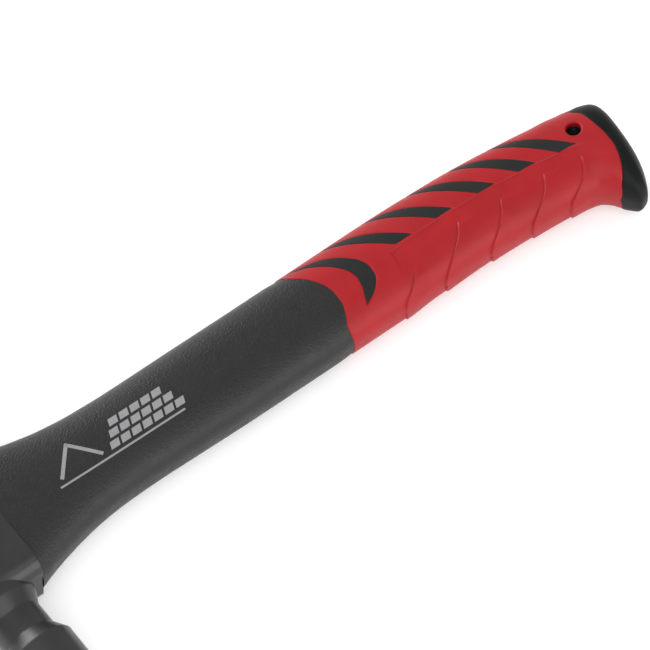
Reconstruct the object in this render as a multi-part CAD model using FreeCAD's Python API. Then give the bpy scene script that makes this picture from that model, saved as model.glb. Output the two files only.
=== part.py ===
"""Roofing hatchet with a moulded handle, a milled hammer face, a nail slot and a sliding shingle gauge.

It lies on its side: +X runs along the handle from the head to the butt, +Y is the blade side and the back
of the grip, -Y is the hammer side and the finger side of the grip, and +Z is up through the flat sides.
The origin is the centre of the hang hole, half way through the grip. Sizes are in millimetres.
While it is being built, x = 0 is where the handle's shoulder meets the underside of the head.
"""
import FreeCAD
import Part
import math
import os

# ---- driving dimensions ----
HOLE_X, HOLE_Y, HOLE_R = 271.0, 2.1, 3.0          # hang hole
EXPONENT = 2.6                                     # squareness of the handle's oval section
SLEEVE = 2.5                                       # thickness of the soft grip
STRIPE_DROP = 0.1                                  # how far the black stripes lie below the grip
CORE_HALF_Y, CORE_HALF_Z = 12.0, 6.0               # fibreglass rod
CORE_END = 255.0
HEAD_HEIGHT = 36.0                                 # eye height along the handle
EYE_HALF_Y, EYE_HALF_Z = 23.0, 9.5                 # eye hole
BOSS_HALF_Y, BOSS_HALF_Z = 30.0, 15.0              # metal round the eye
FACE_Y, FACE_R = -76.0, 14.5                       # hammer face
NECK_R = 11.0
AXIS_X = -18.0                                     # middle of the head's height
EDGE_Y, EDGE_RADIUS = 98.0, 120.0                  # cutting edge: its furthest point and its arc
BLADE_HALF = 2.8                                   # half thickness of the blade's plate
SLOT_X, SLOT_HALF = -26.0, 2.7                     # gauge slot in the blade
SLOT_START, SLOT_END = 50.0, 78.0                  # centres of the slot's round ends
STUD_Y = 62.0                                      # where the gauge is set at rest
STUD_R, NUT_R, NUT_HEIGHT = 2.45, 8.0, 6.5
WASHER_R, WASHER_HEIGHT = 6.5, 1.0
BUTTON_R, BUTTON_HEIGHT = 7.0, 4.0
RUNNING_GAP = 0.05                                 # radial gap between the stud and what turns on it
MAGNET_R, MAGNET_DEPTH = 3.0, 5.0

# Handle stations: x, middle of the section, half depth along Y, half thickness along Z.
STATIONS = [
    (0, 0, 30.5, 15.0), (8, 0, 27.6, 14.6), (16, 0, 25.2, 14.2), (24, 0, 23.2, 13.9), (34, 0, 21.3, 13.6),
    (48, 0, 19.9, 13.4), (65, 0, 19.45, 13.3), (100, 0, 19.7, 13.3), (140, 0.3, 19.6, 13.4),
    (190, 0.8, 19.5, 13.6), (215, 0.6, 19.1, 13.5), (230, -0.2, 19.0, 13.4), (246, -1.6, 18.9, 13.3),
    (258, -3.0, 18.9, 13.2), (265.5, -4.2, 19.4, 13.3), (270, -6.2, 20.6, 13.6), (274, -9.0, 22.9, 14.0),
    (277.5, -10.6, 23.7, 14.2), (281.3, -10.6, 22.8, 13.8), (284.2, -9.3, 20.0, 12.5),
    (286.3, -7.8, 15.0, 9.6), (287.4, -6.8, 7.0, 4.5),
]
# Front border of the grip on the flat side, from the back to the finger side.
NOSE = [(140, 24), (145, 17.9), (150.7, 10.7), (155.2, 2.9), (156.4, -3.5), (154.6, -10.4), (152.3, -15.8), (152.7, -24)]
# Border between the grip and the butt cap.
CAP_BORDER = [(274, 16), (277.6, 6.9), (278.9, -1.5), (279.4, -9), (278.5, -15.7), (274.7, -24), (270, -31)]
# Crescent at the front of the grip: outer edge from the back to its point, then the inner edge back again.
CRESCENT_OUTER = [(145, 19.2), (156.8, 15.8), (163.4, 12.5), (169.1, 7.8), (172.6, 3.0), (173.4, -2.5), (171, -7.6), (163.7, -12)]
CRESCENT_INNER = [(163.7, -12), (166.2, -5.4), (166.8, -0.5), (165.4, 4.2), (160.5, 10), (154, 15.1), (145, 19.2)]
# Slashes: the tip of each, and its edges counted from the tip.
SLASH_TIPS = [(194.6, 1.9), (213.5, 1.8), (232.7, 0.8), (250.6, -1.1), (268.0, -3.8)]
SLASH_TILT = [0.0, 1.0, 3.0, 5.5, 7.5]             # degrees, as the grip bends towards the fingers
SLASH_UPPER = [(0, 0), (-4.4, 3.8), (-9.5, 7.8), (-15.0, 11.4), (-21.0, 14.5), (-31.0, 17.2)]
SLASH_LOWER = [(-31.0, 17.2), (-26.0, 14.3), (-22.2, 11.7), (-17.4, 8.1), (-12.4, 4.1), (-7.5, -0.1)]


def vec(x, y, z=0.0):
    return FreeCAD.Vector(x, y, z)


def monotone(xs, ys, x):
    """Value at x of a smooth curve through the stations that never overshoots them."""
    n = len(xs)
    step = [xs[i + 1] - xs[i] for i in range(n - 1)]
    rise = [(ys[i + 1] - ys[i]) / step[i] for i in range(n - 1)]
    slope = [rise[0]] + [0.0] * (n - 2) + [rise[-1]]
    for i in range(1, n - 1):
        if rise[i - 1] * rise[i] > 0:
            w1, w2 = 2 * step[i] + step[i - 1], step[i] + 2 * step[i - 1]
            slope[i] = (w1 + w2) / (w1 / rise[i - 1] + w2 / rise[i])
    i = max(k for k in range(n - 1) if x >= xs[k])
    u, h = (x - xs[i]) / step[i], step[i]
    return ((1 + 2 * u) * (1 - u) ** 2 * ys[i] + u * (1 - u) ** 2 * h * slope[i]
            + u * u * (3 - 2 * u) * ys[i + 1] + u * u * (u - 1) * h * slope[i + 1])


def section_sizes(x):
    xs = [s[0] for s in STATIONS]
    return tuple(monotone(xs, [s[k] for s in STATIONS], x) for k in (1, 2, 3))


def section_wire(x, offset, points=28):
    middle, half_y, half_z = section_sizes(x)
    ring = []
    for k in range(points):
        angle = 2 * math.pi * k / points
        c, s = math.cos(angle), math.sin(angle)
        y = middle + (half_y + offset) * math.copysign(abs(c) ** (2 / EXPONENT), c)
        z = (half_z + offset) * math.copysign(abs(s) ** (2 / EXPONENT), s)
        ring.append(vec(x, y, z))
    curve = Part.BSplineCurve()
    curve.interpolate(ring, PeriodicFlag=True)
    return Part.Wire([curve.toShape()])


def handle_body(start, end, offset):
    """The handle's outside between two stations, grown or shrunk by offset."""
    places = [start] + [s[0] for s in STATIONS if start + 1 < s[0] < end - 1] + [end]
    finer = []
    for a, b in zip(places, places[1:]):
        finer.append(a)
        if b - a > 16:
            finer.append((a + b) / 2)
    finer.append(end)
    return Part.makeLoft([section_wire(x, offset) for x in finer], True, False)


def curve_edge(points):
    curve = Part.BSplineCurve()
    curve.interpolate([vec(x, y) for x, y in points])
    return curve.toShape()


def line_edge(a, b):
    return Part.LineSegment(vec(*a), vec(*b)).toShape()


def prism(edges, low, high):
    """A solid between two heights over a closed outline in the XY plane."""
    face = Part.Face(Part.Wire(edges))
    face.translate(vec(0, 0, low))
    return face.extrude(vec(0, 0, high - low))


def turned(point, tip, degrees):
    """A slash point, turned about its tip and moved there."""
    a = math.radians(-degrees)
    x = tip[0] + point[0] * math.cos(a) - point[1] * math.sin(a)
    y = tip[1] + point[0] * math.sin(a) + point[1] * math.cos(a)
    return x, y


def box(x0, x1, y0, y1, z0, z1):
    return Part.makeBox(x1 - x0, y1 - y0, z1 - z0, vec(x0, y0, z0))


def cylinder(radius, height, base, direction=(0, 0, 1)):
    return Part.makeCylinder(radius, height, vec(*base), vec(*direction))


def chamfered_disc(radius, low, high, x, y, chamfer):
    """A disc standing on Z with both rims chamfered."""
    mid = cylinder(radius, high - low - 2 * chamfer, (x, y, low + chamfer))
    bottom = Part.makeCone(radius - chamfer, radius, chamfer, vec(x, y, low))
    top = Part.makeCone(radius, radius - chamfer, chamfer, vec(x, y, high - chamfer))
    return mid.fuse([bottom, top]).removeSplitter()


# ---- handle ----
def stripe_cutters():
    """Tall prisms over the outline of each stripe, upwards from the middle plane."""
    cutters = [prism([curve_edge(CRESCENT_OUTER), curve_edge(CRESCENT_INNER)], 2.0, 25.0)]
    for tip, tilt in zip(SLASH_TIPS, SLASH_TILT):
        upper = [turned(p, tip, tilt) for p in SLASH_UPPER]
        lower = [turned(p, tip, tilt) for p in SLASH_LOWER]
        cutters.append(prism([curve_edge(upper), curve_edge(lower), line_edge(lower[-1], upper[0])], 2.0, 25.0))
    return cutters


def grip_zone():
    """Everything between the grip's front border and the butt cap."""
    first, last = NOSE, CAP_BORDER
    edges = [curve_edge(first), line_edge(first[-1], (200, -60)), line_edge((200, -60), last[-1])]
    edges += [curve_edge(last), line_edge(last[0], (200, 60)), line_edge((200, 60), first[0])]
    return prism(edges, -30, 30)


def cap_zone():
    edges = [curve_edge(CAP_BORDER), line_edge(CAP_BORDER[-1], (270, -60)), line_edge((270, -60), (320, -60))]
    edges += [line_edge((320, -60), (320, 60)), line_edge((320, 60), (274, 60)), line_edge((274, 60), CAP_BORDER[0])]
    return prism(edges, -30, 30)


def mirror_z(shape):
    return shape.mirror(vec(0, 0, 0), vec(0, 0, 1))


def core_rod(extra=0.0):
    """Oval fibreglass rod from the top of the eye to near the hang hole."""
    half_y, half_z = CORE_HALF_Y + extra, CORE_HALF_Z + extra
    start = 2.0 - HEAD_HEIGHT
    end = CORE_END + extra
    flat = half_y - half_z
    bar = box(start, end, -flat, flat, -half_z, half_z)
    sides = [cylinder(half_z, end - start, (start, y, 0), (1, 0, 0)) for y in (-flat, flat)]
    return bar.fuse(sides).removeSplitter()


def handle_parts():
    outer = handle_body(0, STATIONS[-1][0], 0)
    inner = handle_body(130, 281.3, -SLEEVE)
    stripe_skin = handle_body(130, 281.3, -STRIPE_DROP).cut(inner)
    hole = cylinder(HOLE_R, 60, (HOLE_X, HOLE_Y, -30))
    zone = grip_zone()
    core = core_rod()
    cap = outer.common(cap_zone()).cut(inner)
    shell = outer.cut(inner).common(zone)
    jacket = outer.cut(cap_zone()).cut(zone).fuse(inner).cut(hole).cut(core)
    stripes = {}
    cutters = stripe_cutters()
    for number, cutter in enumerate(cutters, 1):
        upper = stripe_skin.common(cutter)
        stripes["grip_stripe_top_%d" % number] = upper
        stripes["grip_stripe_under_%d" % number] = mirror_z(upper)
    sleeve = shell.cut(cutters + [mirror_z(c) for c in cutters]).cut(hole)
    return {"handle_jacket": jacket, "grip_sleeve": sleeve, "butt_cap": cap, "fibreglass_core": core, **stripes}


# ---- head ----
def rounded_block(x0, x1, half_y, half_z, radius):
    block = box(x0, x1, -half_y, half_y, -half_z, half_z)
    along = [e for e in block.Edges if abs(e.Vertexes[0].X - e.Vertexes[1].X) > 1]
    return block.makeFillet(radius, along)


def blade():
    """Blade plate: its side outline cut from a wedge that thins towards the edge."""
    centre = (AXIS_X + 20.0, EDGE_Y - EDGE_RADIUS)
    toe = (-44.0, centre[1] + math.sqrt(EDGE_RADIUS ** 2 - (-44.0 - centre[0]) ** 2))
    heel = (44.0, centre[1] + math.sqrt(EDGE_RADIUS ** 2 - (44.0 - centre[0]) ** 2))
    middle = (centre[0], EDGE_Y)
    edge = Part.Arc(vec(*toe), vec(*middle), vec(*heel)).toShape()
    top = curve_edge([(-36.0, 18.0), (-36.0, 34.0), (-37.5, 58.0), toe])
    beard = curve_edge([heel, (25.0, 72.0), (4.0, 50.0), (-1.5, 36.0), (0.0, 18.0)])
    outline = prism([edge, top, line_edge((0.0, 18.0), (-36.0, 18.0)), beard], -16, 16)
    half = [(18, 14.2), (26, 13.4), (31, 10.2), (35, 6.6), (39, 4.0), (43, BLADE_HALF)]
    flanks = []
    for side in (1, -1):
        flank = Part.BSplineCurve()
        flank.interpolate([vec(-60, y, side * z) for y, z in half], InitialTangent=vec(0, 1, 0), FinalTangent=vec(0, 1, 0))
        flanks.append(flank.toShape())
        flanks.append(Part.LineSegment(vec(-60, 43, side * BLADE_HALF), vec(-60, 104, side * BLADE_HALF)).toShape())
    flanks.append(Part.LineSegment(vec(-60, 104, BLADE_HALF), vec(-60, 104, -BLADE_HALF)).toShape())
    flanks.append(Part.LineSegment(vec(-60, 18, -14.2), vec(-60, 18, 14.2)).toShape())
    wedge = Part.Face(Part.Wire(Part.__sortEdges__(flanks))).extrude(vec(120, 0, 0))
    r0, r1 = EDGE_RADIUS - 11.0, EDGE_RADIUS + 3.0
    bevel = [(20.0, 0, 20.0), (r0, 0, 2.6), (EDGE_RADIUS, 0, 0.15), (r1, 0, 0.1)]
    ground = [vec(x, 0, z) for x, _, z in bevel] + [vec(x, 0, -z) for x, _, z in reversed(bevel)]
    ring = Part.Face(Part.makePolygon(ground + [ground[0]])).revolve(vec(0, 0, 0), vec(0, 0, 1), 360)
    ring.translate(vec(centre[0], centre[1], 0))
    return outline.common(wedge).common(ring)


def poll():
    """Round hammer poll with a swelling neck, turned about the head's axis."""
    y = FACE_Y
    profile = [(0, -20), (14.5, -20), (14.0, -31), (NECK_R, -37), (NECK_R, -47), (FACE_R, -53), (FACE_R, y + 2), (FACE_R - 2, y), (0, y)]
    points = [vec(r, yy, 0) for r, yy in profile]
    turned_solid = Part.Face(Part.makePolygon(points + [points[0]])).revolve(vec(0, 0, 0), vec(0, 1, 0), 360)
    turned_solid.translate(vec(AXIS_X, 0, 0))
    return turned_solid


def waffle_grooves():
    """V grooves in two directions across the striking face."""
    pitch, depth, grooves = 2.9, 1.0, []
    for k in range(-4, 5):
        across = k * pitch
        for turn in (0, 90):
            tri = [vec(across - depth * 0.8, FACE_Y - 0.1, -20), vec(across + depth * 0.8, FACE_Y - 0.1, -20),
                   vec(across, FACE_Y + depth, -20)]
            bar = Part.Face(Part.makePolygon(tri + [tri[0]])).extrude(vec(0, 0, 40))
            bar.rotate(vec(0, 0, 0), vec(0, 1, 0), turn)
            bar.translate(vec(AXIS_X, 0, 0))
            grooves.append(bar)
    return grooves


def gauge_slot():
    ends = [cylinder(SLOT_HALF, 20, (SLOT_X, y, -10)) for y in (SLOT_START, SLOT_END)]
    middle = box(SLOT_X - SLOT_HALF, SLOT_X + SLOT_HALF, SLOT_START, SLOT_END, -10, 10)
    return middle.fuse(ends).removeSplitter()


def nail_slot():
    """Tapered notch in the blade's lower edge, for pulling nails."""
    mouth, root = (28.0, 76.0), (5.0, 68.0)
    ux, uy = (mouth[0] - root[0]), (mouth[1] - root[1])
    length = math.hypot(ux, uy)
    ux, uy = ux / length, uy / length
    wide, narrow = 6.0, 1.8

    def side(point, out, along=0.0):
        return point[0] + ux * along - uy * out, point[1] + uy * along + ux * out

    corners = [side(mouth, wide, 6), side(root, narrow), side(root, -narrow), side(mouth, -wide, 6)]
    edges = [line_edge(corners[0], corners[1])]
    edges.append(Part.Arc(vec(*corners[1]), vec(*side(root, 0, -narrow)), vec(*corners[2])).toShape())
    edges += [line_edge(corners[2], corners[3]), line_edge(corners[3], corners[0])]
    return prism(edges, -10, 10)


def nail_groove():
    """Nail starter: a groove along the top of the poll with a slot for the nail's head."""
    top = AXIS_X - FACE_R
    shank = cylinder(2.0, 30, (top + 0.2, FACE_Y - 5, 0), (0, 1, 0))
    head_slot = box(top - 1, top + 4.2, -54.6, -52.4, -5.5, 5.5)
    return shank, head_slot


def magnet(extra=0.0):
    top = AXIS_X - FACE_R
    return cylinder(MAGNET_R + extra, MAGNET_DEPTH, (top + 2.2, -63.0, 0), (1, 0, 0))


def head_parts():
    boss = rounded_block(-HEAD_HEIGHT, 0, BOSS_HALF_Y, BOSS_HALF_Z, 7.0)
    crown = [e for e in boss.Edges if all(v.X < 1 - HEAD_HEIGHT for v in e.Vertexes)]
    boss = boss.makeChamfer(1.5, crown)
    eye = rounded_block(-HEAD_HEIGHT - 1, 1, EYE_HALF_Y, EYE_HALF_Z, 7.0)
    head = boss.fuse([blade(), poll()])
    shank, head_slot = nail_groove()
    head = head.cut([eye, gauge_slot(), nail_slot(), shank, head_slot, magnet()] + waffle_grooves())
    core = core_rod()
    fill = rounded_block(-HEAD_HEIGHT + 0.6, 0, EYE_HALF_Y, EYE_HALF_Z, 7.0).cut(core)
    disc = magnet().cut(shank)
    return {"hatchet_head": head, "eye_epoxy": fill, "nail_magnet": disc}


# ---- shingle gauge ----
def knurled_nut(low):
    nut = chamfered_disc(NUT_R, low, low + NUT_HEIGHT, SLOT_X, STUD_Y, 0.8)
    teeth = 20
    flutes = []
    for k in range(teeth):
        a = 2 * math.pi * k / teeth
        flutes.append(cylinder(0.7, NUT_HEIGHT + 2, (SLOT_X + (NUT_R + 0.2) * math.cos(a), STUD_Y + (NUT_R + 0.2) * math.sin(a), low - 1)))
    return nut.cut(flutes).cut(cylinder(STUD_R + RUNNING_GAP, NUT_HEIGHT + 2, (SLOT_X, STUD_Y, low - 1)))


def gauge_parts():
    plate = BLADE_HALF
    flat = SLOT_HALF - 0.1
    button = chamfered_disc(BUTTON_R, -plate - BUTTON_HEIGHT, -plate - 0.1, SLOT_X, STUD_Y, 0.8)
    key = box(SLOT_X - flat, SLOT_X + flat, STUD_Y - flat, STUD_Y + flat, -plate - 0.2, plate - 1.2)
    shaft = cylinder(STUD_R, 2 * plate + 11.0, (SLOT_X, STUD_Y, -plate))
    stud = button.fuse([key, shaft]).removeSplitter()
    washer_low = plate + 0.15
    washer = cylinder(WASHER_R, WASHER_HEIGHT, (SLOT_X, STUD_Y, washer_low))
    washer = washer.cut(cylinder(STUD_R + 0.15, 3, (SLOT_X, STUD_Y, washer_low - 1)))
    nut = knurled_nut(washer_low + WASHER_HEIGHT + 0.05)
    return {"gauge_stud": stud, "gauge_washer": washer, "gauge_thumb_nut": nut}


def main():
    os.makedirs("parts", exist_ok=True)
    parts = {**handle_parts(), **head_parts(), **gauge_parts()}
    for name, shape in parts.items():
        shape.translate(vec(-HOLE_X, -HOLE_Y, 0))
        solids = shape.Solids
        whole = solids[0] if len(solids) == 1 else Part.makeCompound(solids)
        whole.exportStep("parts/%s.step" % name)
        print(name, len(solids), "solids", round(whole.Volume, 1), "mm3", whole.isValid())


main()
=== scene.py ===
import math

import bpy
import numpy as np
from mathutils import Matrix, Vector


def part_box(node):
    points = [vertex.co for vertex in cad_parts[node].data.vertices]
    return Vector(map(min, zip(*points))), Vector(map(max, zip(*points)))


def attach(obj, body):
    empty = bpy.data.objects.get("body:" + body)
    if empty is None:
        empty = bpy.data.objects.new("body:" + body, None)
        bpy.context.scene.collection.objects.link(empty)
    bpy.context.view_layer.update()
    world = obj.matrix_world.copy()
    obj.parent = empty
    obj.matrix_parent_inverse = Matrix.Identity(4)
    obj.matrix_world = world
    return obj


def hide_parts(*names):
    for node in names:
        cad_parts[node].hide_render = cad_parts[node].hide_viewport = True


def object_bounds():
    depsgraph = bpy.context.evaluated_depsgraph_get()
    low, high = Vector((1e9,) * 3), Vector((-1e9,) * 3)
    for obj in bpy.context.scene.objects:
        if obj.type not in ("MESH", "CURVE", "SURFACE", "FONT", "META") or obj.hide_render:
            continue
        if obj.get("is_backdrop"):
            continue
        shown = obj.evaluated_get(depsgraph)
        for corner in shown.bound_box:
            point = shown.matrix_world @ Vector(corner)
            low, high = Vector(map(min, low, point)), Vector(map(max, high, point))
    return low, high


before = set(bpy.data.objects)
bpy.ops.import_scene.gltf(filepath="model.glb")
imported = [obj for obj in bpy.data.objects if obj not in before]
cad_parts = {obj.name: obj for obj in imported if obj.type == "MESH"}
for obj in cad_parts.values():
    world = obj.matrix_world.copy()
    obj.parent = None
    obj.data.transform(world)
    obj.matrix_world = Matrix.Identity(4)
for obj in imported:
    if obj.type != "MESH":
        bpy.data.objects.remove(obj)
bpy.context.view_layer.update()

# Sections of the handle: x, middle y, half depth, half thickness.
STATIONS = np.array([
    (0, 0, 30.5, 15.0), (8, 0, 27.6, 14.6), (16, 0, 25.2, 14.2), (24, 0, 23.2, 13.9), (34, 0, 21.3, 13.6),
    (48, 0, 19.9, 13.4), (65, 0, 19.45, 13.3), (100, 0, 19.7, 13.3), (140, 0.3, 19.6, 13.4),
    (190, 0.8, 19.5, 13.6), (215, 0.6, 19.1, 13.5), (230, -0.2, 19.0, 13.4), (246, -1.6, 18.9, 13.3),
    (258, -3.0, 18.9, 13.2), (265.5, -4.2, 19.4, 13.3), (270, -6.2, 20.6, 13.6), (274, -9.0, 22.9, 14.0),
    (277.5, -10.6, 23.7, 14.2), (281.3, -10.6, 22.8, 13.8), (284.2, -9.3, 20.0, 12.5),
    (286.3, -7.8, 15.0, 9.6), (287.4, -6.8, 7.0, 4.5)], float)
EXPONENT = 2.6                 # how square the oval sections are
S_MEASURED_AT = 200.0          # s is measured round the section at this x
BUTT_X = 287.4
HOLE_X, HOLE_Y, HOLE_R = 271.0, 2.1, 3.0

# Borders of the grip at its two ends: x, y on the flat side, from the back to the finger side.
NOSE = [(143.2, 19.4), (145, 17.9), (147.6, 14.1), (150.7, 10.7), (153.4, 6.6), (155.2, 2.9), (156.1, -1.3),
        (156.1, -5.6), (154.6, -10.4), (152.3, -15.8), (152.7, -19.3)]
CAP_BORDER = [(274.3, 13.2), (275.8, 9.6), (277.6, 6.9), (278.3, 3.3), (278.9, -1.5), (279.4, -6.6), (279.4, -11.1),
              (278.5, -15.7), (276.9, -20.0), (274.7, -24.0), (272.3, -27.0), (271.1, -28.2)]

# Stripes: the crescent's two edges, and a slash's two edges measured from its tip.
CRESCENT_OUTER = [(147, 18.6), (151.4, 17.6), (156.8, 15.8), (163.4, 12.5), (169.1, 7.8), (172.1, 4.2), (173.5, 0),
                  (173.1, -4.1), (171.3, -7.1), (167.9, -10.0), (163.7, -12.0)]
CRESCENT_INNER = [(147, 18.6), (154.0, 15.1), (157.0, 12.9), (160.5, 10.0), (163.6, 6.6), (166.2, 2.4),
                  (166.9, -1.3), (166.2, -5.4), (164.9, -8.6), (163.7, -12.0)]
SLASH_UPPER = [(-31.0, 17.2), (-21.0, 14.5), (-15.0, 11.4), (-9.5, 7.8), (-4.4, 3.8), (0, 0)]
SLASH_LOWER = [(-31.0, 17.2), (-26.0, 14.3), (-22.2, 11.7), (-17.4, 8.1), (-12.4, 4.1), (-7.5, -0.1)]
SLASH_TIPS = [(194.6, 1.9), (213.5, 1.8), (232.7, 0.8), (250.6, -1.1), (268.0, -3.8)]
SLASH_TILT = [0.0, 1.0, 3.0, 5.5, 7.5]     # degrees
STRIPE_ROWS, STRIPE_COLUMNS = 90, 29
STRIPE_CROWDING = 1.6          # rows of a stripe's mesh crowd towards its end
STRIPE_DROP, EDGE_DROP = 0.08, 0.26        # how far a stripe and its edge lie under the grip's surface
STRIPE_ROUNDING = 0.45         # width of a stripe's rounded edge
BED_DROP, BED_SLOPE = 0.45, 0.35           # the red under a stripe goes down this much, over this width
RED_EDGE_WIDTH = 0.38          # the red's own rounding beside a stripe

# Finger panel: its border along the flat side and at the front, and the step down from it.
PANEL_LINE = [(183.0, 0.9), (187.4, 1.1), (194.6, 1.8), (213.5, 1.7), (232.7, 0.8), (250.6, -1.1), (260.7, -2.5),
              (268.1, -4.1), (276, -6.5)]
PANEL_FRONT = [(183.0, 0.9), (183.2, -2.9), (182.8, -5.8), (182.0, -8.3), (180.1, -11.4)]
PANEL_DROP, PANEL_STEP = 0.42, 0.55        # depth and width of the step
PANEL_LIP = 0.6                # how far the step is from the line
PANEL_TURN, PANEL_TURN_OVER = (200, -5.0), 6.0         # from this x, y on, the front step softens
PANEL_SOFT_FRONT = 12.0        # and is spread over this length
PANEL_END_X, PANEL_END_OVER = 266, 9.0     # the step dies out towards the butt

# Each finger scale starts along one of these lines: x, y, z from the flat side round to the finger edge.
SCALES = [
    [(187.1, -11.4, 11.9), (184.7, -13.4, 10.9), (181.0, -16.0, 8.8), (178.0, -17.7, 6.4), (176.8, -18.6, 3.5),
     (177.1, -18.8, 0)],
    [(211.7, -4.4, 13.3), (209.6, -7.7, 12.9), (206.9, -10.5, 12.1), (202.3, -14.1, 10.3), (197.6, -17.3, 6.8),
     (195.7, -18.6, 2), (196.4, -18.6, 0)],
    [(230.5, -6.1, 13.1), (228.6, -9.6, 12.5), (226.2, -12.4, 11.5), (221.8, -15.7, 9.1), (218.4, -17.7, 5.8),
     (217.2, -18.5, 1.5), (217.6, -19, 0)],
    [(250.1, -7.1, 13.0), (247.3, -11.9, 12.2), (244.5, -14.3, 11.1), (239.7, -17.3, 8.6), (236.4, -19.1, 4.8),
     (235.9, -19.6, 0.4)],
    [(266.2, -9.3, 13.1), (264.2, -13.9, 12.2), (261.3, -16.9, 10.8), (256.7, -19.2, 8.3), (253.5, -20.7, 5.1),
     (252.9, -21.2, 0.9)]]
SCALE_RISE, SCALE_LIP = 0.65, 0.45         # height at the start, and width of that edge
SCALE_FALL = 1.3               # power of the fall towards the next scale
SCALE_LEAD, SCALE_LEAD_OVER = 1.5, 4.0     # the rise starts this far before the line's top, over this width
LAST_SCALE_LENGTH = 14.0
SCALE_SEAM_DEPTH, SCALE_SEAM_WIDTH, SCALE_SEAM_AHEAD = 0.13, 0.32, 0.30
SEAM_LEAD, SEAM_LEAD_OVER = 1.0, 2.0
SCALE_TOPS = [((188.5, -5.2), (199.5, -6.2)), ((211.7, -4.4), (221.9, -5.8)), ((231, -5.4), (239.9, -6.3)),
              ((249.5, -6.4), (256.5, -7.8))]
TOP_SEAM_DEPTH, TOP_SEAM_WIDTH = 0.10, 0.35

# Edges where the handle's pieces meet, and the hang hole's rim.
SLEEVE_ROWS, SLEEVE_COLUMNS = 560, 448
SLEEVE_EDGE_DROP, SLEEVE_EDGE_WIDTH = 0.28, 0.6
JACKET_ROWS, JACKET_COLUMNS = 300, 320
JACKET_TUCK, JACKET_TUCK_OVER = 0.34, 7.0  # the handle goes down this much towards the grip
CAP_ROWS, CAP_COLUMNS = 150, 320
CAP_EDGE_DROP, CAP_EDGE_WIDTH, CAP_SWELL = 0.34, 0.7, 0.06
CAP_TIP = 0.35                 # the butt's middle stands out this much
OVERLAP = 0.1                  # handle and cap run this far under the grip
BUTT_LEAN, BUTT_PIVOT_Y = 0.075, -3.0      # the butt's end leans back on the finger side
RIM_ROUND = 0.62
RIM_SEAM = 0.55                # the grip's surface is drawn to a circle this much wider than the hole
RIM_LIFT = 0.02                # the rim starts this much above the surface
RED_DEPTH, BLACK_DEPTH = 3.4, 16.0         # the hole's wall is the grip's to here, and the handle's past the middle
HOLE_TURNS = 72

# Head: what the ground bevel and the striking face need.
FACE_Y, EDGE_Y, EDGE_RADIUS = -76.0, 98.0, 120.0
EDGE_CENTRE = (2.0, EDGE_Y - EDGE_RADIUS, 0)
BEVEL_FROM, BEVEL_FULL = EDGE_RADIUS - 10.9, EDGE_RADIUS - 10.6
BLADE_FROM, BLADE_FULL = 0.040, 0.042      # metres along Y
FACE_FROM, FACE_FULL = FACE_Y + 2.6, FACE_Y + 2.2

# Gauge stud.
BUTTON_HEIGHT, BUTTON_GAP = 4.0, 0.1
NECK_HALF, NECK_TOP, NECK_BEVEL = 2.6, 1.4, 1.6
SHANK_R, THREAD_PITCH, THREAD_DEPTH = 2.47, 0.8, 0.34
THREAD_FROM, THREAD_END, THREAD_ROWS, THREAD_TURNS = 1.5, 0.6, 400, 48

# Printed mark: strokes of a roof, a rule and rows of shingles, as x, y on the handle.
ROOF_STROKES, ROOF_WIDTH = [((27, -5), (37, 6.6)), ((36.2, 6.6), (46, -5))], 1.5
RULE, RULE_WIDTH = ((24.5, -7.6), (82, -7.6)), 0.8
SHINGLE_LEVELS, SHINGLES_IN_FIRST = (-4.2, 0.0, 4.2), 7
SHINGLE_X, SHINGLE_PITCH, SHINGLE_STAGGER = 50.0, 5.0, 2.5
SHINGLE_LENGTH, SHINGLE_WIDTH, SHINGLE_SLANT = 4.0, 3.0, 0.55
PRINT_LIFT = 0.05

# Stage. The two targets are in the model's millimetres, the lens and sensor in millimetres, the rest in metres.
VIEW_TURN, VIEW_RISE = math.radians(-36.3), math.radians(62)
VIEW_RIGHT = Vector((math.cos(VIEW_TURN), math.sin(VIEW_TURN), 0))
VIEW_BACK = Vector((math.sin(VIEW_TURN) * math.cos(VIEW_RISE), -math.cos(VIEW_TURN) * math.cos(VIEW_RISE),
                    math.sin(VIEW_RISE)))
LENS, SENSOR, FAR_CLIP = 800, 36, 40
VIEW_CENTRE = (139.8, -17.5, 30.2)
VIEW_CENTRE_BACK, VIEW_DISTANCE = 0.035, 5.451
FLOOR_HALF, FLOOR_GAP, FLOOR_GLOW = 6.0, 0.0002, 0.15
WORLD_STRENGTH = 0.70
LIGHT_TARGET = (170, 0, 0)
LIGHTS = [                     # name, direction, distance, size, power in watts
    ("overhead", (-0.35, -0.55, 0.9), 1.9, 1.8, 20),
    ("front_low", (0.25, -1.0, 0.36), 1.3, 1.0, 9.5),
    ("back_rim", (-0.3, 1.0, 0.40), 1.5, 0.9, 24)]


# ---- the handle's surface ----
def curve_through(xs, ys, x):
    """Smooth curve through the stations that never overshoots them."""
    xs, ys = np.asarray(xs, float), np.asarray(ys, float)
    step = np.diff(xs)
    rise = np.diff(ys) / step
    slope = np.zeros(len(xs))
    slope[0], slope[-1] = rise[0], rise[-1]
    for i in range(1, len(xs) - 1):
        if rise[i - 1] * rise[i] > 0:
            w1, w2 = 2 * step[i] + step[i - 1], step[i] + 2 * step[i - 1]
            slope[i] = (w1 + w2) / (w1 / rise[i - 1] + w2 / rise[i])
    x = np.clip(x, xs[0], xs[-1])
    i = np.clip(np.searchsorted(xs, x, side="right") - 1, 0, len(xs) - 2)
    u, h = (x - xs[i]) / step[i], step[i]
    return ((1 + 2 * u) * (1 - u) ** 2 * ys[i] + u * (1 - u) ** 2 * h * slope[i]
            + u * u * (3 - 2 * u) * ys[i + 1] + u * u * (u - 1) * h * slope[i + 1])


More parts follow.
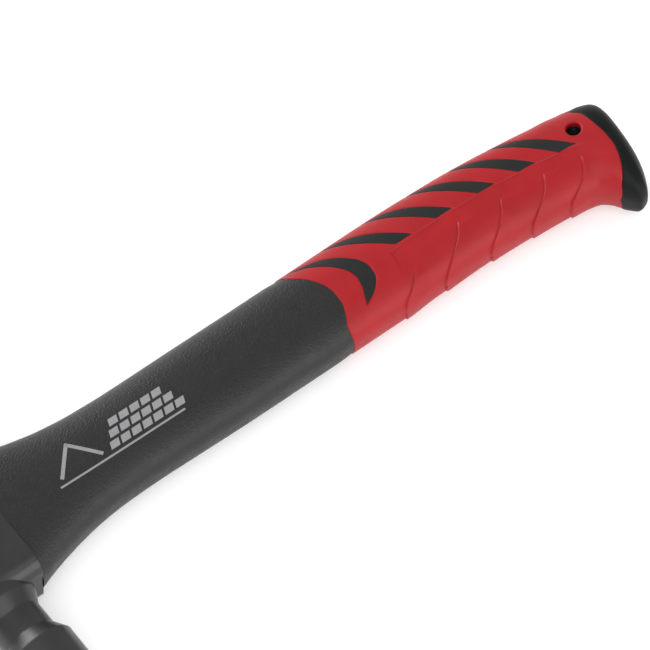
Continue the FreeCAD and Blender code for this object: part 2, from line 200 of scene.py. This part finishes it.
def section(x):
    """Middle, half depth and half thickness of the handle's section at x."""
    return tuple(curve_through(STATIONS[:, 0], STATIONS[:, k], x) for k in (1, 2, 3))


def on_section(x, angle):
    """Points on the oval section at x."""
    middle, half_y, half_z = section(x)
    c, s = np.cos(angle), np.sin(angle)
    y = middle + half_y * np.sign(c) * np.abs(c) ** (2 / EXPONENT)
    z = half_z * np.sign(s) * np.abs(s) ** (2 / EXPONENT)
    return np.stack([x + 0 * y, y, z], -1)


def lengths_along(points):
    """Length from the first point of a line to each of its points."""
    return np.concatenate([[0], np.cumsum(np.linalg.norm(np.diff(points, axis=0), axis=1))])


ANGLES = np.linspace(0, math.pi, 4001)
ARC = lengths_along(on_section(S_MEASURED_AT, ANGLES))
HALF_ROUND = ARC[-1]


def point(x, s):
    """The point of the handle's surface at (x, s)."""
    s = s % (2 * HALF_ROUND)
    angle = np.interp(np.minimum(s, 2 * HALF_ROUND - s), ARC, ANGLES)
    return on_section(x, np.where(s > HALF_ROUND, -angle, angle))


def outward(x, s):
    """Unit normal of the handle's surface, from points a little way off on each side."""
    dx, ds = 0.05, 0.12
    along = point(np.clip(x + dx, 0, BUTT_X), s) - point(np.clip(x - dx, 0, BUTT_X), s)
    around = point(x, s + ds) - point(x, s - ds)
    n = np.cross(around, along)
    return n / np.maximum(np.linalg.norm(n, axis=-1, keepdims=True), 1e-9)


def place(x, s, lift):
    """Points lifted off the handle's surface by lift, in millimetres."""
    return point(x, s) + outward(x, s) * np.asarray(lift)[..., None]


def s_of(x, y, z=None):
    """The s of a point on the upper half, from its y, or from its y and z."""
    middle, half_y, half_z = section(np.asarray(x, float))
    v = np.clip((np.asarray(y, float) - middle) / half_y, -1, 1)
    c = np.sign(v) * np.abs(v) ** (EXPONENT / 2)
    if z is None:
        angle = np.arccos(c)
    else:
        angle = np.arctan2(np.clip(np.asarray(z, float) / half_z, 0, 1) ** (EXPONENT / 2), c)
    return np.interp(angle, ANGLES, ARC)


def to_xs(points):
    """A line of (x, y) or (x, y, z) as (x, s)."""
    points = np.array(points, float)
    z = points[:, 2] if points.shape[1] > 2 else None
    return np.stack([points[:, 0], s_of(points[:, 0], points[:, 1], z)], -1)


def row(points):
    """Millimetres of the model to metres of the row frame."""
    return (np.asarray(points) - np.array([HOLE_X, HOLE_Y, 0.0])) / 1000.0


def smooth(t):
    """0 to 1 with a level start and end."""
    t = np.clip(t, 0, 1)
    return t * t * (3 - 2 * t)


def quarter_round(t):
    """0 to 1 along a quarter of a circle, steep at 0."""
    return np.sqrt(1 - (1 - np.clip(t, 0, 1)) ** 2)


def resample(points, count):
    """A smooth line through the points with evenly spaced places along it."""
    points = np.asarray(points, float)
    length = lengths_along(points)
    places = np.linspace(0, length[-1], count)
    return np.stack([curve_through(length, points[:, k], places) for k in range(points.shape[1])], -1)


def distance_to_line(x, s, line):
    best = np.full(np.shape(x), 1e9)
    for (x0, s0), (x1, s1) in zip(line[:-1], line[1:]):
        dx, ds = x1 - x0, s1 - s0
        t = np.clip(((x - x0) * dx + (s - s0) * ds) / (dx * dx + ds * ds + 1e-12), 0, 1)
        best = np.minimum(best, np.hypot(x - x0 - t * dx, s - s0 - t * ds))
    return best


def closed_outline(upper, lower):
    """The outline between two edges, without and with its first point again at the end."""
    outline = np.concatenate([upper, lower[::-1]])
    return outline, np.concatenate([outline, outline[:1]])


def inside(x, s, outline):
    """Whether each (x, s) is inside an outline."""
    result = np.zeros(np.shape(x), bool)
    for (x0, s0), (x1, s1) in zip(outline, np.roll(outline, -1, axis=0)):
        crosses = (s0 > s) != (s1 > s)
        result ^= crosses & (x < (x1 - x0) * (s - s0) / (s1 - s0 + 1e-12) + x0)
    return result


def border_x(line, s):
    """x of one of the grip's end borders at each s of the upper half."""
    border = to_xs(line)
    return curve_through(border[:, 1], border[:, 0], s)


def round_the_handle(columns):
    """Evenly spaced s round the section, and the same folded onto the upper half."""
    s = np.linspace(0, 2 * HALF_ROUND, columns, endpoint=False)
    return s, np.minimum(s, 2 * HALF_ROUND - s)


# ---- meshes ----
def mesh_object(name, verts, faces, material, body="hatchet"):
    mesh = bpy.data.meshes.new(name)
    mesh.from_pydata(np.asarray(verts).tolist(), [], faces if isinstance(faces, list) else faces.tolist())
    mesh.shade_smooth()
    mesh.update()
    mesh.materials.append(material)
    thing = bpy.data.objects.new(name, mesh)
    bpy.context.scene.collection.objects.link(thing)
    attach(thing, body)
    return thing


def grid_faces(rows, columns, closed):
    """Quads over a grid of rows x columns; closed joins the last column to the first."""
    last = columns if closed else columns - 1
    r, c = np.meshgrid(np.arange(rows - 1), np.arange(last), indexing="ij")
    d = (c + 1) % columns
    quads = np.stack([r * columns + c, r * columns + d, (r + 1) * columns + d, (r + 1) * columns + c], -1)
    return quads.reshape(-1, 4)


def join(parts):
    """Several (verts, faces) into one."""
    verts, faces, start = [], [], 0
    for v, f in parts:
        verts.append(np.asarray(v).reshape(-1, 3))
        faces += [[i + start for i in face] for face in np.asarray(f).tolist()]
        start += len(verts[-1])
    return np.concatenate(verts), faces


# ---- finishes ----
class Finish:
    """A node material built up step by step: mottled colour, uneven gloss and layered relief."""

    NOISE_LOW, NOISE_HIGH = 0.3, 0.7       # most of a noise texture's values lie between these

    def __init__(self, name, colour, rough, metallic=0.0, specular=0.5, soften_mm=0.0):
        self.material = bpy.data.materials.new(name)
        self.material.use_nodes = True
        self.tree = self.material.node_tree
        self.shader = self.tree.nodes["Principled BSDF"]
        self.shader.inputs["Base Color"].default_value = (*colour, 1)
        self.shader.inputs["Roughness"].default_value = rough
        self.shader.inputs["Metallic"].default_value = metallic
        self.shader.inputs["Specular IOR Level"].default_value = specular
        self.place = self.node("ShaderNodeTexCoord").outputs["Object"]
        self.colour, self.rough = colour, rough
        self.relief = None
        if soften_mm:
            bevel = self.node("ShaderNodeBevel", {"Radius": soften_mm / 1000.0}, samples=4)
            self.relief = bevel.outputs["Normal"]
            self.tree.links.new(self.relief, self.shader.inputs["Normal"])

    def node(self, kind, inputs=(), **settings):
        """A new node; each input is a socket to link from or a value to set."""
        made = self.tree.nodes.new(kind)
        for key, value in settings.items():
            setattr(made, key, value)
        for key, value in dict(inputs).items():
            if hasattr(value, "links"):
                self.tree.links.new(value, made.inputs[key])
            else:
                made.inputs[key].default_value = value
        return made

    def calculate(self, operation, first, second):
        return self.node("ShaderNodeMath", {0: first, 1: second}, operation=operation).outputs[0]

    def noise(self, scale, detail=3.0, stretch=None):
        place = self.place
        if stretch:
            place = self.node("ShaderNodeMapping", {"Vector": place, "Scale": stretch}).outputs[0]
        made = self.node("ShaderNodeTexNoise", {
            "Vector": place, "Scale": scale, "Detail": detail, "Roughness": 0.5})
        return made.outputs["Fac"]

    def ranged(self, value, low, high, to_low, to_high):
        made = self.node("ShaderNodeMapRange", {
            "Value": value, "From Min": low, "From Max": high, "To Min": to_low, "To Max": to_high})
        return made.outputs["Result"]

    def mixed(self, factor, first, second):
        """Two colours mixed; the node's colour inputs are numbers 6 and 7, and its colour output is number 2."""
        return self.node("ShaderNodeMix", {0: factor, 6: first, 7: second}, data_type="RGBA").outputs[2]

    def mottle(self, scale, spread, detail=4.0):
        dark = (*[c * (1 - spread) for c in self.colour], 1)
        light = (*[min(1.0, c * (1 + spread)) for c in self.colour], 1)
        factor = self.ranged(self.noise(scale, detail), self.NOISE_LOW, self.NOISE_HIGH, 0, 1)
        self.colour_socket = self.mixed(factor, dark, light)
        self.tree.links.new(self.colour_socket, self.shader.inputs["Base Color"])
        return self

    def gloss(self, scale, spread, stretch=None):
        noise = self.noise(scale, 3.0, stretch)
        value = self.ranged(noise, self.NOISE_LOW, self.NOISE_HIGH, self.rough - spread, self.rough + spread)
        self.tree.links.new(value, self.shader.inputs["Roughness"])
        return self

    def bump(self, scale, depth_mm, strength=1.0, detail=2.0):
        inputs = {"Height": self.noise(scale, detail), "Distance": depth_mm / 1000.0, "Strength": strength}
        if self.relief:
            inputs["Normal"] = self.relief
        self.relief = self.node("ShaderNodeBump", inputs).outputs["Normal"]
        self.tree.links.new(self.relief, self.shader.inputs["Normal"])
        return self


def black_rubber(name, colour, rough, specular):
    finish = Finish(name, colour, rough, specular=specular)
    return finish.mottle(120, 0.10).gloss(160, 0.06).bump(1100, 0.02, 0.5).bump(3000, 0.012, 0.4)


def head_finish():
    """Black paint on a forging, with the bevel and the hammer face ground bright."""
    finish = Finish("painted_forging", (0.016, 0.016, 0.017), 0.34, specular=0.4, soften_mm=0.9)
    finish.mottle(70, 0.18).gloss(90, 0.08)
    finish.bump(95, 0.22, 0.55, detail=4.0).bump(1300, 0.03, 0.4)
    along_y = finish.node("ShaderNodeSeparateXYZ", {"Vector": finish.place}).outputs["Y"]
    centre = tuple(row(EDGE_CENTRE))
    offset = finish.node("ShaderNodeVectorMath", {0: finish.place, 1: centre}, operation="SUBTRACT")
    flat = finish.node("ShaderNodeVectorMath", {0: offset.outputs[0], 1: (1, 1, 0)}, operation="MULTIPLY")
    reach = finish.node("ShaderNodeVectorMath", {0: flat.outputs[0]}, operation="LENGTH").outputs["Value"]
    reach = finish.calculate("ADD", reach, finish.ranged(finish.noise(160, 2.0), 0, 1, -0.0004, 0.0004))
    bevel = finish.ranged(reach, BEVEL_FROM / 1000, BEVEL_FULL / 1000, 0, 1)
    bevel = finish.calculate("MULTIPLY", bevel, finish.ranged(along_y, BLADE_FROM, BLADE_FULL, 0, 1))
    face = finish.ranged(along_y, row((0, FACE_FROM, 0))[1], row((0, FACE_FULL, 0))[1], 0, 1)
    bright = finish.calculate("MAXIMUM", bevel, face)
    scratches = finish.noise(2600, 2.0, (0.12, 1, 1))
    tone = finish.ranged(scratches, finish.NOISE_LOW, finish.NOISE_HIGH, 0.34, 0.62)
    ground = finish.node("ShaderNodeCombineColor", {0: tone, 1: tone, 2: tone}).outputs[0]
    finish.tree.links.new(finish.mixed(bright, finish.colour_socket, ground), finish.shader.inputs["Base Color"])
    finish.tree.links.new(bright, finish.shader.inputs["Metallic"])
    return finish


def finishes():
    """Each finish's material by a short name. Noise scales are per metre, bump depths in millimetres."""
    red = Finish("red_rubber", (0.285, 0.0075, 0.0105), 0.46, specular=0.22).mottle(90, 0.06).gloss(140, 0.05)
    plastic = Finish("black_plastic", (0.0150, 0.0150, 0.0150), 0.42, specular=0.25).mottle(1300, 0.14, 1.0)
    printing = Finish("pale_print", (0.20, 0.20, 0.205), 0.5).mottle(500, 0.06).gloss(200, 0.05)
    zinc = Finish("zinc_plate", (0.42, 0.42, 0.43), 0.34, metallic=1.0, soften_mm=0.25).mottle(300, 0.10)
    nickel = Finish("nickel_plate", (0.66, 0.65, 0.62), 0.22, metallic=1.0).mottle(300, 0.06).gloss(300, 0.06)
    resin = Finish("cast_epoxy", (0.020, 0.019, 0.016), 0.32).mottle(180, 0.2).gloss(120, 0.08)
    glassfibre = Finish("pultruded_rod", (0.52, 0.40, 0.14), 0.38).mottle(700, 0.18).gloss(300, 0.08)
    made = {
        "red": red.bump(900, 0.045, 0.6).bump(2600, 0.012, 0.45),
        "soft_black": black_rubber("black_rubber", (0.0118, 0.0135, 0.0122), 0.50, 0.18),
        "cap_black": black_rubber("black_rubber_cap", (0.0050, 0.0058, 0.0054), 0.46, 0.12),
        "plastic": plastic.gloss(260, 0.06).bump(1250, 0.22, 1.0, detail=1.5).bump(420, 0.06, 0.4),
        "print": printing.bump(1500, 0.02, 0.4),
        "zinc": zinc.gloss(400, 0.08, (1, 1, 6)).bump(900, 0.01, 0.4),
        "nickel": nickel.bump(900, 0.008, 0.3),
        "resin": resin.bump(160, 0.12, 0.5),
        "glassfibre": glassfibre.bump(1500, 0.05, 0.5),
        "steel": head_finish()}
    return {name: finish.material for name, finish in made.items()}


# ---- handle pieces ----
def stripe_borders():
    """The two edges of each stripe in (x, s), from its start at the back to its end."""
    pairs = [(CRESCENT_OUTER, CRESCENT_INNER)]
    for tip, tilt in zip(SLASH_TIPS, SLASH_TILT):
        a = math.radians(-tilt)
        turn = np.array([[math.cos(a), -math.sin(a)], [math.sin(a), math.cos(a)]])
        pairs.append([np.array(line) @ turn.T + np.array(tip) for line in (SLASH_UPPER, SLASH_LOWER)])
    return [[to_xs(resample(line, STRIPE_ROWS)) for line in pair] for pair in pairs]


def stripe_grid(upper, lower):
    """A fine grid of (x, s) between a stripe's two edges."""
    across = 0.5 - 0.5 * np.cos(np.linspace(0, math.pi, STRIPE_COLUMNS))
    grid = upper[:, None, :] * (1 - across[None, :, None]) + lower[:, None, :] * across[None, :, None]
    along = np.linspace(0, 1, STRIPE_ROWS)
    crowded = 1 - (1 - along) ** STRIPE_CROWDING
    return [np.stack([np.interp(crowded, along, grid[:, j, k]) for j in range(STRIPE_COLUMNS)], -1) for k in (0, 1)]


def stripe_pieces(material):
    for number, (upper, lower) in enumerate(stripe_borders(), 1):
        x, s = stripe_grid(upper, lower)
        rounded = quarter_round(distance_to_line(x, s, closed_outline(upper, lower)[1]) / STRIPE_ROUNDING)
        lift = -EDGE_DROP + (EDGE_DROP - STRIPE_DROP) * rounded
        for side, word in ((1, "top"), (-1, "under")):
            verts = place(x, s, lift)
            verts[..., 2] *= side
            faces = grid_faces(*x.shape, False)
            if side > 0:
                faces = faces[:, ::-1]
            name = "grip_stripe_%s_%d" % (word, number)
            piece = mesh_object("look_" + name, row(verts).reshape(-1, 3), faces, material)
            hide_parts(name)


def panel_relief(x, s):
    """The step down into the finger panel."""
    line, front = to_xs(PANEL_LINE), to_xs(PANEL_FRONT)
    past_line = s - np.interp(x, line[:, 0], line[:, 1]) - PANEL_LIP
    past_front = x - np.interp(s, front[:, 1], front[:, 0])
    sharp = 1 - smooth((s - s_of(*PANEL_TURN)) / PANEL_TURN_OVER)
    strength = sharp + (1 - sharp) * smooth(past_front / PANEL_SOFT_FRONT)
    fade_butt = 1 - smooth((x - PANEL_END_X) / PANEL_END_OVER)
    return -PANEL_DROP * smooth(np.minimum(past_line, past_front) / PANEL_STEP + 0.5) * strength * fade_butt


def scale_relief(x, s):
    """The finger scales: each rises at its start, falls to the next one, and has a seam before it."""
    height = np.zeros_like(x)
    lines = [to_xs(scale) for scale in SCALES]
    starts = [curve_through(line[:, 1], line[:, 0], s) for line in lines]
    ends = starts[1:] + [starts[-1] + LAST_SCALE_LENGTH]
    for line, start, end in zip(lines, starts, ends):
        past_top = s - line[0, 1]
        along = (x - start) / (end - start)
        fall = (1 - np.clip(along, 0, 1)) ** SCALE_FALL
        ramp = np.where(along < 1, smooth((x - start) / SCALE_LIP + 0.5) * fall, 0)
        height = height + SCALE_RISE * smooth((past_top + SCALE_LEAD) / SCALE_LEAD_OVER) * ramp
        seam = np.exp(-((x - start + SCALE_SEAM_AHEAD) / SCALE_SEAM_WIDTH) ** 2)
        height = height - SCALE_SEAM_DEPTH * smooth((past_top + SEAM_LEAD) / SEAM_LEAD_OVER) * seam
    for top in SCALE_TOPS:
        height = height - TOP_SEAM_DEPTH * np.exp(-(distance_to_line(x, s, to_xs(top)) / TOP_SEAM_WIDTH) ** 2)
    return height


def stripe_beds(x, s):
    """How far the red is let in under the stripes."""
    depth = np.zeros_like(x)
    for upper, lower in stripe_borders():
        outline, closed = closed_outline(upper, lower)
        low, high = outline.min(0) - 1, outline.max(0) + 1
        near = (x > low[0]) & (x < high[0]) & (s > low[1]) & (s < high[1])
        near_x, near_s = x[near], s[near]
        edge = distance_to_line(near_x, near_s, closed)
        bed = EDGE_DROP + BED_DROP * np.clip(edge / BED_SLOPE, 0, 1)
        beside = EDGE_DROP * np.exp(-(edge / RED_EDGE_WIDTH) ** 2)
        depth[near] += np.where(inside(near_x, near_s, outline), bed, beside)
    return depth


def surface_z(x, y):
    """Height of the handle's flat side over (x, y)."""
    middle, half_y, half_z = section(x)
    v = np.clip(np.abs(y - middle) / half_y, 0, 0.999)
    return half_z * (1 - v ** EXPONENT) ** (1 / EXPONENT)


def hole_rims(depths, radii):
    """Turned walls down both ends of the hang hole, at depths measured from the handle's surface."""
    turns = np.linspace(0, 2 * math.pi, HOLE_TURNS, endpoint=False)
    faces = grid_faces(len(depths), HOLE_TURNS, True)
    parts = []
    for side in (1, -1):
        rings = []
        for depth, radius in zip(depths, radii):
            x, y = HOLE_X + radius * np.cos(turns), HOLE_Y + radius * np.sin(turns)
            rings.append(np.stack([x, y, side * (surface_z(x, y) - depth)], -1))
        parts.append((np.array(rings), faces if side < 0 else faces[:, ::-1]))
    return parts


def grip_sleeve(material):
    s, half = round_the_handle(SLEEVE_COLUMNS)
    start, end = border_x(NOSE, half)[None, :], border_x(CAP_BORDER, half)[None, :]
    u = np.linspace(0, 1, SLEEVE_ROWS)[:, None]
    x = start * (1 - u) + end * u
    ring, folded = np.broadcast_to(s, x.shape), np.broadcast_to(half, x.shape)
    lift = panel_relief(x, folded) + scale_relief(x, folded) - stripe_beds(x, folded)
    edge = np.minimum(x - start, end - x)
    lift = lift - SLEEVE_EDGE_DROP * (1 - quarter_round(edge / SLEEVE_EDGE_WIDTH))
    verts = place(x, ring, lift).reshape(-1, 3)

    # The hole: faces well inside the rim go, and corners that are left inside it are drawn out to the rim.
    away = np.hypot(verts[:, 0] - HOLE_X, verts[:, 1] - HOLE_Y)
    rim = HOLE_R + RIM_SEAM
    faces = grid_faces(SLEEVE_ROWS, SLEEVE_COLUMNS, True)[:, ::-1]
    kept = faces[(away[faces] > rim - 0.1).any(axis=1)]
    pull = np.where(away < rim, rim / np.maximum(away, 1e-6), 1.0)
    verts[:, 0] = HOLE_X + (verts[:, 0] - HOLE_X) * pull
    verts[:, 1] = HOLE_Y + (verts[:, 1] - HOLE_Y) * pull
    bend = np.linspace(0, math.pi / 2, 7)
    depths = list(-RIM_LIFT + RIM_ROUND * (1 - np.cos(bend))) + [RED_DEPTH]
    radii = list(HOLE_R + RIM_ROUND * (1 - np.sin(bend))) + [HOLE_R]
    verts, faces = join([(verts, kept)] + hole_rims(depths, radii))
    piece = mesh_object("look_grip_sleeve", row(verts), faces, material)
    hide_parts("grip_sleeve")


def handle_jacket(material):
    s, half = round_the_handle(JACKET_COLUMNS)
    end = border_x(NOSE, half)[None, :] + OVERLAP
    x = np.linspace(0, 1, JACKET_ROWS)[:, None] * end
    lift = -JACKET_TUCK * smooth(1 - (end - x) / JACKET_TUCK_OVER)
    skin = place(x, np.broadcast_to(s, x.shape), lift), grid_faces(*x.shape, True)[:, ::-1]
    hole = hole_rims([RED_DEPTH - OVERLAP, BLACK_DEPTH], [HOLE_R, HOLE_R])
    verts, faces = join([skin] + hole)
    piece = mesh_object("look_handle_jacket", row(verts), faces, material)
    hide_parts("handle_jacket")


def butt_cap(material):
    s, half = round_the_handle(CAP_COLUMNS)
    start = border_x(CAP_BORDER, half)[None, :] - OVERLAP
    u = np.sin(np.linspace(0, math.pi / 2, CAP_ROWS))[:, None]
    x = start * (1 - u) + (BUTT_X - 0.02) * u
    near = np.clip((x - start) / CAP_EDGE_WIDTH, 0, 1)
    lift = -CAP_EDGE_DROP * (1 - quarter_round(near)) + CAP_SWELL * near
    verts = place(x, np.broadcast_to(s, x.shape), lift)
    verts[..., 0] += BUTT_LEAN * (verts[..., 1] - BUTT_PIVOT_Y) * smooth((x - start) / (BUTT_X - start))
    verts = verts.reshape(-1, 3)
    faces = grid_faces(CAP_ROWS, CAP_COLUMNS, True)[:, ::-1].tolist()
    tip = verts[-CAP_COLUMNS:].mean(0) + np.array([CAP_TIP, 0, 0])
    verts = np.concatenate([verts, tip[None]])
    last_ring = (CAP_ROWS - 1) * CAP_COLUMNS
    for k in range(CAP_COLUMNS):
        faces.append([last_ring + k, len(verts) - 1, last_ring + (k + 1) % CAP_COLUMNS])
    piece = mesh_object("look_butt_cap", row(verts), faces, material)
    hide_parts("butt_cap")


# ---- gauge stud ----
def turned_piece(profile, turns=64):
    """A solid of revolution about the stud's axis from (radius, z) points."""
    angle = np.linspace(0, 2 * math.pi, turns, endpoint=False)
    rings = [np.stack([r * np.cos(angle), r * np.sin(angle), np.full(turns, z)], -1) for r, z in profile]
    return np.array(rings), grid_faces(len(rings), turns, True)


def stud_button(radius, bottom, top):
    """Dished button with its two rims rounded."""
    bend = np.linspace(0, math.pi / 2, 7)
    profile = [(0.01, bottom + 0.25), (radius * 0.45, bottom + 0.12)]
    profile += [(radius - 1 + math.sin(b), bottom + 1 - math.cos(b)) for b in bend]
    profile += [(radius - 0.5 + 0.5 * math.cos(b), top - 0.5 + 0.5 * math.sin(b)) for b in bend]
    return turned_piece(profile + [(0.01, top)])


def stud_neck(bottom):
    """Square neck with a bevelled top."""
    corners = NECK_HALF * np.array([(-1, -1), (1, -1), (1, 1), (-1, 1)])
    levels = ((1, bottom), (1, NECK_TOP), (0.92, NECK_BEVEL), (0.01, NECK_BEVEL))
    rings = [np.stack([corners[:, 0] * k, corners[:, 1] * k, np.full(4, z)], -1) for k, z in levels]
    return np.array(rings), grid_faces(4, 4, True)


def stud_thread(top):
    z = np.linspace(THREAD_FROM, top - THREAD_END, THREAD_ROWS)[:, None]
    angle = np.linspace(0, 2 * math.pi, THREAD_TURNS, endpoint=False)[None, :]
    phase = (z / THREAD_PITCH - angle / (2 * math.pi)) % 1.0
    radius = SHANK_R - THREAD_DEPTH * np.abs(2 * phase - 1) ** 0.9
    verts = np.stack([radius * np.cos(angle), radius * np.sin(angle), z + 0 * angle], -1)
    return verts, grid_faces(THREAD_ROWS, THREAD_TURNS, True)


def gauge_stud(material):
    low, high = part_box("gauge_stud")
    middle = np.array([(low.x + high.x) / 2, (low.y + high.y) / 2, 0]) * 1000
    bottom, top = low.z * 1000, high.z * 1000
    button_top = bottom + BUTTON_HEIGHT - BUTTON_GAP
    chamfer = [(SHANK_R - 0.15, top - THREAD_END - 0.02), (SHANK_R - 0.55, top), (0.01, top)]
    verts, faces = join([
        stud_button((high.x - low.x) * 500, bottom, button_top), stud_neck(button_top - BUTTON_GAP),
        stud_thread(top), turned_piece(chamfer, THREAD_TURNS)])
    verts = row(verts + middle + np.array([HOLE_X, HOLE_Y, 0]))
    piece = mesh_object("look_gauge_stud", verts, faces, material, body="gauge_stud")
    piece.data.set_sharp_from_angle(angle=math.radians(50))
    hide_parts("gauge_stud")


# ---- printed mark ----
def patch(corners):
    """Four corners (x, y) laid on the handle's upper side as a fine grid."""
    corners = np.array(corners, float)
    u, v = np.meshgrid(np.linspace(0, 1, 26), np.linspace(0, 1, 8), indexing="ij")
    u, v = u[..., None], v[..., None]
    xy = (corners[0] * (1 - u) + corners[1] * u) * (1 - v) + (corners[3] * (1 - u) + corners[2] * u) * v
    verts = place(xy[..., 0], s_of(xy[..., 0], xy[..., 1]), np.full(xy.shape[:2], PRINT_LIFT))
    faces = grid_faces(*xy.shape[:2], False)
    a, b, c = verts[0, 0], verts[-1, 0], verts[0, -1]
    if np.cross(b - a, c - a)[2] < 0:
        faces = faces[:, ::-1]
    return verts, faces


def bar(a, b, width, slant=0.0):
    """Four corners of a stroke from a to b."""
    a, b = np.array(a, float), np.array(b, float)
    d = (b - a) / np.linalg.norm(b - a)
    n = np.array([-d[1], d[0]]) * width / 2
    lean = d * slant
    return [a - n - lean, b - n - lean, b + n + lean, a + n + lean]


def printed_mark(material):
    """A roof beside rows of shingles, with a rule under them."""
    strokes = [bar(a, b, ROOF_WIDTH) for a, b in ROOF_STROKES] + [bar(*RULE, RULE_WIDTH)]
    for k, y in enumerate(SHINGLE_LEVELS):
        for j in range(SHINGLES_IN_FIRST - k):
            x = SHINGLE_X + SHINGLE_PITCH * j + SHINGLE_STAGGER * k
            strokes.append(bar((x, y), (x + SHINGLE_LENGTH, y), SHINGLE_WIDTH, SHINGLE_SLANT))
    verts, faces = join([patch(stroke) for stroke in strokes])
    mesh_object("printed_mark", row(verts), faces, material)


# ---- stage ----
def camera():
    """A long lens at the photograph's viewing angle."""
    data = bpy.data.cameras.new("camera")
    data.lens, data.sensor_width = LENS, SENSOR
    data.clip_end = FAR_CLIP
    thing = bpy.data.objects.new("camera", data)
    bpy.context.scene.collection.objects.link(thing)
    target = Vector(row(VIEW_CENTRE)) - VIEW_BACK * VIEW_CENTRE_BACK
    spot = target + VIEW_BACK * VIEW_DISTANCE
    turn = Matrix((VIEW_RIGHT, VIEW_BACK.cross(VIEW_RIGHT), VIEW_BACK)).transposed().to_4x4()
    thing.matrix_world = Matrix.Translation(spot) @ turn
    bpy.context.scene.camera = thing


def area_light(name, direction, distance, size, power):
    data = bpy.data.lights.new(name, "AREA")
    data.shape, data.size, data.energy = "SQUARE", size, power
    thing = bpy.data.objects.new(name, data)
    bpy.context.scene.collection.objects.link(thing)
    aim = Vector(direction).normalized()
    thing.location = Vector(row(LIGHT_TARGET)) + aim * distance
    thing.rotation_euler = aim.to_track_quat("Z", "Y").to_euler()


def stage():
    """White floor and surroundings, soft lights and the camera."""
    floor_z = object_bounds()[0][2] - FLOOR_GAP
    corners = [(FLOOR_HALF * x, FLOOR_HALF * y, floor_z) for x, y in ((-1, -1), (1, -1), (1, 1), (-1, 1))]
    mesh = bpy.data.meshes.new("floor")
    mesh.from_pydata(corners, [], [(0, 1, 2, 3)])
    paper = Finish("pale_paper", (0.92, 0.92, 0.92), 0.85, specular=0.1).mottle(3, 0.004).gloss(5, 0.02)
    paper.shader.inputs["Emission Color"].default_value = (1, 1, 1, 1)
    paper.shader.inputs["Emission Strength"].default_value = FLOOR_GLOW
    mesh.materials.append(paper.material)
    floor = bpy.data.objects.new("floor", mesh)
    bpy.context.scene.collection.objects.link(floor)
    floor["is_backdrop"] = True
    world = bpy.data.worlds.new("studio")
    world.use_nodes = True
    background = world.node_tree.nodes["Background"]
    background.inputs["Color"].default_value = (1, 1, 1, 1)
    background.inputs["Strength"].default_value = WORLD_STRENGTH
    bpy.context.scene.world = world
    for light in LIGHTS:
        area_light(*light)
    bpy.context.scene.view_settings.view_transform = "Standard"
    camera()


def main():
    looks = finishes()
    for node, look in (("hatchet_head", "steel"), ("nail_magnet", "nickel"), ("eye_epoxy", "resin"),
                       ("fibreglass_core", "glassfibre"), ("gauge_stud", "zinc"), ("gauge_washer", "zinc"),
                       ("gauge_thumb_nut", "zinc")):
        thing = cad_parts[node]
        thing.data.materials.clear()
        thing.data.materials.append(looks[look])
    grip_sleeve(looks["red"])
    stripe_pieces(looks["soft_black"])
    handle_jacket(looks["plastic"])
    butt_cap(looks["cap_black"])
    printed_mark(looks["print"])
    gauge_stud(looks["zinc"])
    stage()


main()
